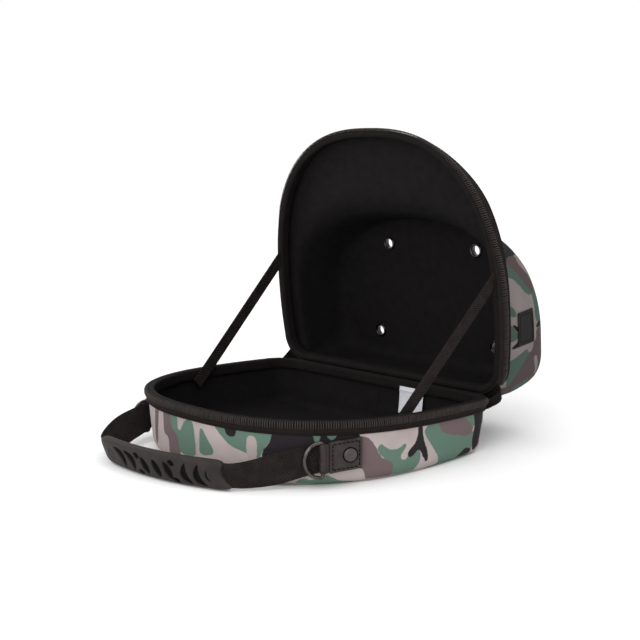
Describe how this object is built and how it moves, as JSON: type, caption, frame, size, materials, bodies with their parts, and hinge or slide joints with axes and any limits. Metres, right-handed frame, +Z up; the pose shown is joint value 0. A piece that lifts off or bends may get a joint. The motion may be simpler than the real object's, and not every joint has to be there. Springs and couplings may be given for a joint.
{
  "type": "cap carrier",
  "caption": "Zipped D-shaped hard-shell carrier for caps, open, with a shallow tray, a domed lid with vent eyelets, webbing stays and a carry strap with a moulded grip.",
  "frame": {"origin": "middle of the tray's flat underside, on the surface that it stands on", "axes": "+Z up, +Y towards the hinge and the lid's dome, +X to the right when facing the tray's front"},
  "size_m": [0.3078, 0.3839, 0.3028],
  "materials": {
    "camo_cloth": "woven polyester with a woodland camouflage print over a moulded foam shell",
    "lining_cloth": "black knitted lining",
    "zip_coil": "nylon coil on woven tape",
    "webbing": "black polyester webbing",
    "eyelet_metal": "bright plated brass",
    "patch_cloth": "plain woven patch",
    "tab_leather": "dark grained leather, stitched edge",
    "gunmetal": "dark plated metal",
    "grip_rubber": "moulded dark rubber",
    "label_cloth": "white satin label"
  },
  "bodies": {
    "root": {"tray_shell": "camo_cloth", "tray_lining": "lining_cloth", "tray_zip": "zip_coil", "tray_binding": "webbing", "lid_shell": "camo_cloth", "lid_lining": "lining_cloth", "lid_zip": "zip_coil", "lid_binding": "webbing", "eyelet_top_left": "eyelet_metal", "eyelet_top_right": "eyelet_metal", "eyelet_low_left": "eyelet_metal", "eyelet_low_right": "eyelet_metal", "side_patch": "patch_cloth", "hinge_strip": "webbing", "carry_strap": "webbing", "stay_left": "webbing", "stay_right": "webbing", "tab_left": "tab_leather", "tab_right": "tab_leather", "rivet_left": "gunmetal", "rivet_right": "gunmetal", "d_ring_left": "gunmetal", "d_ring_right": "gunmetal", "grip": "grip_rubber", "care_label": "label_cloth", "zip_slider": "gunmetal"}
  },
  "joints": []
}
